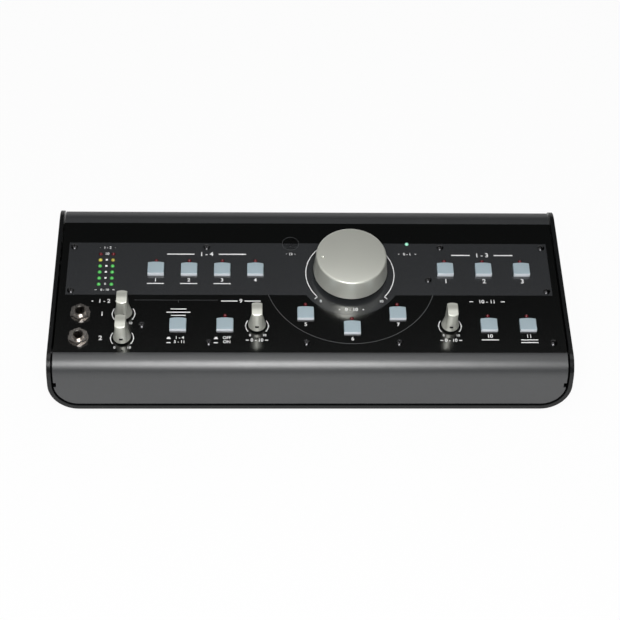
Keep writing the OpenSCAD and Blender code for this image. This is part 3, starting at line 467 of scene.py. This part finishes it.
source_u, source_pitch, upper_v = -117.9, 25.4, 77.2
right_u, right_pitch, lower_v, level_v = 104.6, 29.5, 24.8, 24.4
mono_du, mono_v, mute_v = 34.8, 35.4, 22.2
phones_source_u, studio_u = -99.5, -64.4
phones_knob_u, phones_v, phones_pitch = -140.5, 35.3, 22.3
studio_knob_u = -40.4
level_places = {"phones_1_knob": (phones_knob_u, phones_v),
                "phones_2_knob": (phones_knob_u, phones_v - phones_pitch),
                "studio_knob": (studio_knob_u, level_v), "talkback_knob": (right_u, level_v)}
sweep, arc_r = 130.0, 33.95
level_arc_r, level_arc_start, level_arc_end, level_tick = 8.45, 55.0, 128.0, 0.9
prints = [print_arc(volume_u, volume_v, arc_r, 0.62, -sweep, sweep, 128)]
# Each end of the volume scale has a short foot that points outwards and down
for side in (-1, 1):
    end_u = volume_u + side * arc_r * math.sin(math.radians(sweep))
    end_v = volume_v + arc_r * math.cos(math.radians(sweep))
    prints.append(print_bar(end_u - side * 0.5, end_v - 0.5, end_u + side * 1.6, end_v - 2.6, 0.6))
prints += [print_number("0", volume_u - 23.0, 47.6, 2.2), print_number("10", volume_u + 23.0, 47.6, 2.2)]
# A level scale is a pair of arcs, each with a wider end and a tick in the middle
for u, v in level_places.values():
    for side in (-1, 1):
        prints.append(print_arc(u, v, level_arc_r, 0.55,
                                *sorted((side * level_arc_start, side * level_arc_end)), 24))
        prints.append(print_arc(u, v, level_arc_r - 0.05, level_tick,
                                *sorted((side * (level_arc_end - 6.0), side * level_arc_end)), 8))
        prints.append(print_arc(u, v, level_arc_r + 0.15, level_tick, side * 90.0 - 2.5,
                                side * 90.0 + 2.5, 4))
    prints += [print_number("0", u - 5.2, v - 8.6, 2.0), print_number("10", u + 5.5, v - 8.6, 2.0)]
for row in range(2):
    prints.append(print_number(str(row + 1), -156.6, phones_v - row * phones_pitch, 3.8))


def heading(u, v, words, reach, height=3.9):
    """Plain numbers between two rules that run out to reach on both sides of a place."""
    room_for_words = 0.42 * height * len(words) + 1.2
    marks = [print_number(words, u, v, height)]
    for side in (-1, 1):
        marks.append(print_bar(u + side * room_for_words, v, u + side * reach, v, 0.24 * height))
    return marks


label_drop, rule_drop, rule_pitch, rule_reach, rule_width = 9.6, 13.0, 2.4, 6.5, 0.8


def button_label(words, u, v, lines=0):
    """The number below a button, with short rules under it."""
    marks = [print_number(words, u, v - label_drop, 3.1)]
    for line in range(lines):
        line_v = v - rule_drop - rule_pitch * line
        marks.append(print_bar(u - rule_reach, line_v, u + rule_reach, line_v, rule_width))
    return marks


prints += heading(-79.4, 92.8, "1 - 4", 30.5)
prints += heading(134.4, 92.4, "1 - 3", 24.0)
prints += heading(-155.6, 47.3, "1 - 2", 9.5, 3.4)
prints += heading(-52.6, 47.6, "9", 15.0, 3.4)
prints += heading(134.6, 47.4, "10 - 11", 13.5, 3.2)
prints += heading(volume_u, 39.8, "0 - 10", 9.5, 2.9)
for count in range(4):
    prints += button_label(str(count + 1), source_u + count * source_pitch, upper_v,
                           0 if count == 3 else 1)
for count in range(3):
    prints.append(print_number(str(count + 1), right_u + count * right_pitch, upper_v - 10.2, 4.0))
prints += button_label("5", volume_u - mono_du, mono_v)
prints += button_label("6", volume_u, mute_v)
prints += button_label("7", volume_u + mono_du, mono_v)
prints += button_label("10", right_u + right_pitch, lower_v, 1)
prints += button_label("11", right_u + 2 * right_pitch, lower_v, 2)
for line, reach in enumerate((6.0, 9.0, 5.5)):
    line_v = 40.0 - 3.0 * line
    prints.append(print_bar(phones_source_u - reach, line_v, phones_source_u + reach, line_v, rule_width))
for u in (studio_knob_u, right_u):
    prints += heading(u, level_v - 13.1, "0 - 10", 6.0, 2.8)
mic_u, mic_v = volume_u - 45.4, 103.5
prints += heading(mic_u, 93.2, "12", 3.6, 2.2)
prints += heading(volume_u + 45.1, 93.4, "0 - 1", 7.0, 2.3)
meter_u, meter_low, meter_pitch, meter_dot = -156.0, 63.5, 5.86, 0.8
prints += heading(meter_u, 99.0, "1 - 2", 5.6, 2.2)
prints += heading(meter_u, 58.0, "0 - 10", 7.5, 1.9)
prints += [print_number("10", meter_u, 92.9, 2.3), print_number("0", meter_u, 63.7, 2.0)]
for count in range(1, 5):
    dot_v = meter_low + meter_pitch * count
    prints.append(print_bar(meter_u - meter_dot, dot_v, meter_u + meter_dot, dot_v, 1.5))
# Two rows tell what a button does out and in, each with a small drawing of the cap
row_v, row_pitch = 13.4, 3.7
for u, first, second in ((phones_source_u, "1 - 4", "5 - 11"), (studio_u, "OFF", "ON")):
    for row, words in enumerate((first, second)):
        line_v = row_v - row_pitch * row
        prints.append(print_bar(u - 8.0, line_v - 0.8, u - 5.0, line_v - 0.8, rule_width))
        if row == 0:
            prints.append(print_bar(u - 7.5, line_v + 0.1, u - 5.5, line_v + 0.1, 1.2))
        prints.append(print_number(words, u + 1.6, line_v, 2.5))
deck_print = join(prints, "deck_print")
deck_print.data.materials.append(print_white)
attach(deck_print, "case")
thin_v, thin_width = 48.4, 0.3
faint = [print_arc(volume_u, volume_v, 66.0, 0.6, 108.2, 251.8, 96),
         print_bar(-133.0, thin_v, -70.0, thin_v, thin_width),
         print_bar(-99.8, thin_v, -99.8, thin_v - 2.2, thin_width),
         print_arc(mic_u, mic_v, 6.4, thin_width, 0.0, 360.0, 48)]
faint_print = join(faint, "faint_print")
faint_print.data.materials.append(print_grey)
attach(faint_print, "case")

# ---- Volume knob ----
# Turned and blasted aluminium with a warm silver anodised finish: tapered side, rounded top edge, a
# drilled pointer dimple, and a hollow underside whose hub is pushed on the control's shaft.
knob_silver = textured("satin_silver", (0.68, 0.69, 0.625), 0.34, 0.14, 0.008, metallic=0.6, spread=0.05,
                       rub_color=(0.8, 0.8, 0.76), rub_amount=0.3)


def pick(piece, test, kind="FACE"):
    """In edit mode, selects the faces (or edges) whose middle and normal pass a test."""
    bpy.ops.object.mode_set(mode="EDIT")
    bpy.ops.mesh.select_mode(type=kind)
    bpy.ops.mesh.select_all(action="DESELECT")
    bpy.ops.object.mode_set(mode="OBJECT")
    mesh = piece.data
    if kind == "FACE":
        for face in mesh.polygons:
            face.select = bool(test(face.center, face.normal))
    else:
        for edge in mesh.edges:
            a, b = (mesh.vertices[i].co for i in edge.vertices)
            edge.select = bool(test((a + b) / 2, (b - a).normalized()))
    bpy.ops.object.mode_set(mode="EDIT")


def carve(piece, tool, operation="DIFFERENCE"):
    """Cuts, joins or intersects a piece with a tool solid, which is used up."""
    bare()
    piece.select_set(True)
    bpy.context.view_layer.objects.active = piece
    cut = piece.modifiers.new("carve", "BOOLEAN")
    cut.operation = operation
    cut.solver = "EXACT"
    cut.object = tool
    bpy.ops.object.modifier_apply(modifier=cut.name)
    bpy.data.objects.remove(tool)
    return piece


def smooth(piece, angle=35.0):
    """Shades a piece smooth over edges flatter than an angle."""
    bare()
    piece.select_set(True)
    bpy.context.view_layer.objects.active = piece
    bpy.ops.object.shade_smooth_by_angle(angle=math.radians(angle))
    return piece


volume_gap, volume_top, volume_crown = 5.0, 23.3, 1.0
base_r, top_r = 28.3, 26.7
volume_rim = volume_top - volume_crown
volume_wall, volume_roof, volume_hub_r, volume_bore_r = 4.3, 3.2, 6.0, 3.02
hub_recess, bore_roof = 4.0, 4.0
dimple_r, dimple_at, dimple_lift = 1.7, (-21.4, -1.9), 1.15
rings, ring_step = 8, 3.0
bare()
bpy.ops.mesh.primitive_cone_add(vertices=160, radius1=base_r, radius2=top_r,
                                depth=volume_rim - volume_gap,
                                location=(0.0, 0.0, (volume_rim + volume_gap) / 2))
volume_knob = bpy.context.object
bpy.ops.object.transform_apply(location=True, rotation=True, scale=True)
pick(volume_knob, lambda middle, direction: (middle.z > volume_rim - 0.01
                                             and middle.xy.length > top_r - 0.5), "EDGE")
bpy.ops.mesh.bevel(offset=1.15, segments=6)
pick(volume_knob, lambda middle, normal: normal.z > 0.99 and middle.xy.length < 1.0)
# The turned face is slightly crowned, in rings that each rise a little less than the one outside them
for ring in range(rings):
    bpy.ops.mesh.inset(thickness=ring_step, depth=volume_crown * (2 * rings - 1 - 2 * ring) / rings ** 2)
# The underside is hollowed up to the roof, the hub comes down from it, and is bored for the shaft
pick(volume_knob, lambda middle, normal: normal.z < -0.99)
for rim_width, lift in ((volume_wall, volume_rim - volume_gap - volume_roof),
                        (base_r - volume_wall - volume_hub_r,
                         hub_recess + volume_gap - volume_rim + volume_roof),
                        (volume_hub_r - volume_bore_r,
                         volume_rim - volume_gap - hub_recess - bore_roof)):
    bpy.ops.mesh.inset(thickness=rim_width)
    bpy.ops.mesh.extrude_region_move(TRANSFORM_OT_translate={"value": (0.0, 0.0, lift)})
bare()
bpy.ops.mesh.primitive_uv_sphere_add(segments=40, ring_count=24, radius=dimple_r,
                                     location=(*dimple_at, volume_rim + dimple_lift))
carve(volume_knob, bpy.context.object)
smooth(settle(volume_knob, deck_matrix(volume_u, volume_v)), 30.0)
volume_knob.name = "volume_knob_turned"
volume_knob.data.materials.append(knob_silver)
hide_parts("volume_knob")
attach(volume_knob, "volume_knob")

# ---- Level knobs ----
# Moulded light grey plastic: a round skirt that sweeps in to a finger bar with flat sides, round
# ends and a crowned top. A small dark notch low on the front points down the scale.
level_grey = textured("level_knob_plastic", (0.57, 0.58, 0.52), 0.33, 0.25, 0.006, metallic=0.45,
                      spread=0.05, rub_color=(0.74, 0.75, 0.7), rub_amount=0.3)
level_dark, tree, shader = new_material("pointer_notch", (0.02, 0.02, 0.02), 0.6)
level_gap, level_top = 1.9, 22.6
level_r, grip_w, grip_l, skirt_h, crown_r = 6.65, 7.8, 12.6, 14.0, 14.0
notch_w, notch_low, notch_high, notch_floor = 2.8, 4.3, 6.5, 2.4


def level_knob():
    """One level knob in millimetres, standing on the deck at the origin."""
    height = level_top - level_gap
    bare()
    bpy.ops.mesh.primitive_cone_add(vertices=96, radius1=level_r, radius2=grip_l / 2, depth=height,
                                    location=(0.0, 0.0, level_gap + height / 2))
    bar = bpy.context.object
    bpy.ops.mesh.primitive_cube_add(size=1.0, location=(0.0, 0.0, level_gap + height / 2))
    flats = bpy.context.object
    flats.scale = (grip_w, 4 * level_r, 2 * height)
    carve(bar, flats, "INTERSECT")
    bare()
    bpy.ops.mesh.primitive_cylinder_add(vertices=128, radius=crown_r, depth=4 * level_r,
                                        location=(0.0, 0.0, level_top - crown_r),
                                        rotation=(0.0, math.pi / 2, 0.0))
    carve(bar, bpy.context.object, "INTERSECT")
    bare()
    bpy.ops.mesh.primitive_cone_add(vertices=96, radius1=level_r, radius2=grip_w / 2 - 0.3, depth=skirt_h,
                                    location=(0.0, 0.0, level_gap + skirt_h / 2))
    carve(bar, bpy.context.object, "UNION")
    bare()
    bar.select_set(True)
    bpy.context.view_layer.objects.active = bar
    blend_skin = bar.modifiers.new("moulded_skin", "REMESH")
    blend_skin.mode = "VOXEL"
    blend_skin.voxel_size = 0.2
    bpy.ops.object.modifier_apply(modifier=blend_skin.name)
    soften = bar.modifiers.new("soft_edges", "SMOOTH")
    soften.factor = 0.5
    soften.iterations = 3
    bpy.ops.object.modifier_apply(modifier=soften.name)
    notch_depth = 3.0
    bpy.ops.mesh.primitive_cube_add(size=1.0, location=(0.0, notch_floor - level_r - notch_depth / 2,
                                                        level_gap + (notch_low + notch_high) / 2))
    notch = bpy.context.object
    notch.scale = (notch_w, notch_depth, notch_high - notch_low)
    carve(bar, notch)
    bar.data.materials.append(level_grey)
    bar.data.materials.append(level_dark)
    for face in bar.data.polygons:
        x, y, z = bar.location + face.center
        in_notch = (abs(x) < notch_w / 2 + 0.001 and y < notch_floor + 0.15 - level_r
                    and notch_low - 0.001 < z - level_gap < notch_high + 0.001)
        face.material_index = int(in_notch)
    return smooth(bar, 50.0)


knob_form = level_knob()
for name, (u, v) in level_places.items():
    bare()
    knob_form.select_set(True)
    bpy.context.view_layer.objects.active = knob_form
    bpy.ops.object.duplicate(linked=False)
    knob = settle(bpy.context.object, deck_matrix(u, v))
    knob.name = name + "_moulded"
    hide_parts(name)
    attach(knob, name)
bpy.data.objects.remove(knob_form)

# ---- Push buttons ----
# Hollow caps moulded in satin light blue-grey plastic, with straight sides, round upper edges and a
# gently bowed rear side, each pressed on the plunger of its switch.
cap_plastic = textured("button_cap_plastic", (0.335, 0.415, 0.455), 0.36, 0.25, 0.005, spread=0.05,
                       rub_color=(0.62, 0.70, 0.74), rub_amount=0.2)
# The pale front material is a painted highlight: the front walls are drawn paler to stand in for the
# light falling on them from the front.
cap_front_painted_light = textured("button_cap_front_painted_light", (0.74, 0.78, 0.83), 0.32, 0.25, 0.005, spread=0.05)
cap_w, cap_l, cap_bow, cap_skirt, cap_out, cap_in = 12.4, 10.4, 0.7, 3.2, 3.0, 2.2
cap_wall, cap_round, groove_back, groove_w, plunger_w, plunger_low = 1.2, 0.6, 1.7, 0.3, 3.0, -9.1
cap_places = {"phones_source": (phones_source_u, lower_v, cap_in), "studio": (studio_u, lower_v, cap_in),
              "mono": (volume_u - mono_du, mono_v, cap_in), "mute": (volume_u, mute_v, cap_in),
              "dim": (volume_u + mono_du, mono_v, cap_in),
              "talk_tracks": (right_u + right_pitch, lower_v, cap_in),
              "talk_phones": (right_u + 2 * right_pitch, lower_v, cap_in)}
for count in range(4):
    cap_places[f"source_{count + 1}"] = (source_u + count * source_pitch, upper_v,
                                         cap_in if count else cap_out)
for count, letter in enumerate("abc"):
    cap_places[f"speaker_{letter}"] = (right_u + count * right_pitch, upper_v, cap_out)


def button_cap(high):
    """One cap in millimetres with the deck at the origin, its top at high."""
    height = cap_in + cap_skirt
    bow_r = (cap_w ** 2 / 4 + cap_bow ** 2) / 2 / cap_bow
    bare()
    bpy.ops.mesh.primitive_cube_add(size=1.0, location=(0.0, cap_bow / 2, high - height / 2))
    cap = bpy.context.object
    cap.scale = (cap_w, cap_l + cap_bow, height)
    bpy.ops.object.transform_apply(location=True, rotation=True, scale=True)
    bare()
    bpy.ops.mesh.primitive_cylinder_add(vertices=720, radius=bow_r, depth=4 * height,
                                        location=(0.0, cap_l / 2 + cap_bow - bow_r, 0.0))
    carve(cap, bpy.context.object, "INTERSECT")
    bare()
    cap.select_set(True)
    bpy.context.view_layer.objects.active = cap
    round_edges = cap.modifiers.new("round_edges", "BEVEL")
    round_edges.limit_method = "ANGLE"
    round_edges.angle_limit = math.radians(40.0)
    round_edges.width = cap_round
    round_edges.segments = 5
    bpy.ops.object.modifier_apply(modifier=round_edges.name)
    # A fine moulded line runs across the top a little behind the front edge
    bpy.ops.mesh.primitive_cube_add(size=1.0, location=(0.0, groove_back - cap_l / 2, high))
    line = bpy.context.object
    line.scale = (cap_w - 1.6, groove_w, groove_w)
    carve(cap, line)
    bpy.ops.mesh.primitive_cube_add(size=1.0, location=(0.0, 0.0, high - height / 2 - cap_wall))
    hollow = bpy.context.object
    hollow.scale = (cap_w - 2 * cap_wall, cap_l - 2 * cap_wall, height)
    carve(cap, hollow)
    plunger_top = high - cap_wall - 0.1
    bpy.ops.mesh.primitive_cube_add(size=1.0, location=(0.0, 0.0, (plunger_top + plunger_low) / 2))
    plunger = bpy.context.object
    plunger.scale = (plunger_w, plunger_w, plunger_top - plunger_low)
    cap = smooth(join([cap, plunger], "cap_form"), 35.0)
    cap.data.materials.append(cap_plastic)
    cap.data.materials.append(cap_front_painted_light)
    # Faces turned to the front take the pale material, a painted highlight on the front walls.
    for face in cap.data.polygons:
        in_front = face.center.y < 0.45 - cap_l / 2 and face.center.z > -1.5
        face.material_index = 1 if in_front and face.normal.y < -0.35 else 0
    return cap


cap_forms = {high: button_cap(high) for high in (cap_out, cap_in)}
for name, (u, v, high) in cap_places.items():
    bare()
    cap_forms[high].select_set(True)
    bpy.context.view_layer.objects.active = cap_forms[high]
    bpy.ops.object.duplicate(linked=False)
    cap = settle(bpy.context.object, deck_matrix(u, v))
    cap.name = name + "_cap"
    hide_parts(name + "_button")
    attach(cap, name + "_button")
for form in cap_forms.values():
    bpy.data.objects.remove(form)

# ---- Lamps ----
# Small round light-emitting diodes in clear coloured epoxy, standing on the board behind the deck.
# In the meter, the amber one on the right glows less than its neighbour on the left.


def lamp_lens(name, color, glow, strength, right_share=1.0):
    """Epoxy lens: a brighter core under a clear coloured coat. Right of the meter's middle, the lens
    has right_share of the glow."""
    made, tree, shader = new_material(name, color, 0.18, Coat_Weight=0.6, Emission_Strength=strength)
    coat = use_group(tree, grain, Size_mm=0.8)
    feed(tree, shader, "Base Color", mix_color(tree, coat.outputs["Mottle"], [c * 0.8 for c in color],
                                               color))
    facing = add_node(tree, "ShaderNodeLayerWeight")
    facing.inputs["Blend"].default_value = 0.35
    core = mix_color(tree, facing.outputs["Facing"], glow, [g * 0.35 for g in glow])
    if right_share < 1.0:
        place = add_node(tree, "ShaderNodeSeparateXYZ")
        feed(tree, place, 0, add_node(tree, "ShaderNodeTexCoord").outputs["Object"])
        core = mix_color(tree, calc(tree, "GREATER_THAN", place.outputs[0], meter_u / 1000.0), core,
                         [g * right_share for g in glow])
    feed(tree, shader, "Emission Color", core)
    return made


# The unlit red lenses still get a faint painted glow (emission strength 0.06), though they are not lit.
dress(lamp_lens("red_lens_unlit_painted_glow", (0.10, 0.004, 0.008), (0.5, 0.01, 0.02), 0.06),
      "button_lamps", "meter_red_lamps")
dress(lamp_lens("green_lens_lit", (0.05, 0.25, 0.06), (0.12, 0.75, 0.14), 0.44), "meter_green_lamps")
dress(lamp_lens("amber_lens_lit", (0.35, 0.3, 0.04), (0.8, 0.78, 0.12), 0.4, 0.3), "meter_amber_lamps")
dress(lamp_lens("power_lens_lit", (0.16, 0.42, 0.3), (0.42, 0.95, 0.7), 0.56), "power_lamp")

# ---- Headphone sockets ----
# Nickel-plated threaded necks that come up through the deck, each with a washer and a hexagon nut.
# The nuts of the line sockets, the volume control and the earth post are plated brighter.
nickel = textured("bright_nickel", (0.62, 0.58, 0.52), 0.16, 0.5, 0.006, metallic=1.0, spread=0.2)
dress(nickel, "line_nuts", "volume_nut", "earth_post", "earth_nut")
dark_nickel = textured("dark_nickel", (0.64, 0.60, 0.56), 0.24, 0.5, 0.006, metallic=1.0, spread=0.2)
dress(dark_nickel, "phones_jacks", "phones_washers", "phones_nuts")

# ---- Screws, shafts and the pieces behind the panels ----
# Black oxide screws, drawn steel shafts, moulded sockets and switches, and green circuit boards.
# The phono sockets have gold-plated barrels and red inserts, and a grey flat cable joins the boards.
black_oxide = textured("black_oxide", (0.05, 0.05, 0.052), 0.22, 0.3, 0.01, metallic=1.0,
                       rub_color=(0.2, 0.2, 0.2), rub_amount=0.5)
dress(black_oxide, "case_screws", "panel_screws")
drawn_steel = textured("drawn_steel", (0.5, 0.5, 0.51), 0.3, 0.2, 0.01, metallic=1.0, stretch=0.1)
dress(drawn_steel, "volume_shaft", "phones_1_shaft", "phones_2_shaft", "studio_shaft", "talkback_shaft",
      "volume_pot", "board_spacers", "mic_capsule")
black_plastic = textured("black_moulding", (0.016, 0.016, 0.018), 0.35, 0.35, 0.012)
dress(black_plastic, "line_jacks", "power_inlet", "rocker_frame", "power_rocker", "switch_bodies",
      "phono_switch")
dress(textured("blue_pot_body", (0.05, 0.13, 0.25), 0.4, 0.3, 0.01), "level_pots")
dress(textured("gold_plate", (0.75, 0.52, 0.2), 0.2, 0.3, 0.004, metallic=1.0), "phono_barrels")
dress(textured("red_insert", (0.45, 0.03, 0.03), 0.3, 0.3, 0.005), "phono_inserts")
dress(textured("board_green", (0.02, 0.14, 0.06), 0.3, 0.6, 0.01), "main_board", "rear_board")
dress(textured("ribbon_grey", (0.4, 0.41, 0.43), 0.45, 0.6, 0.02), "board_ribbon")
dress(cap_plastic, "phono_button")
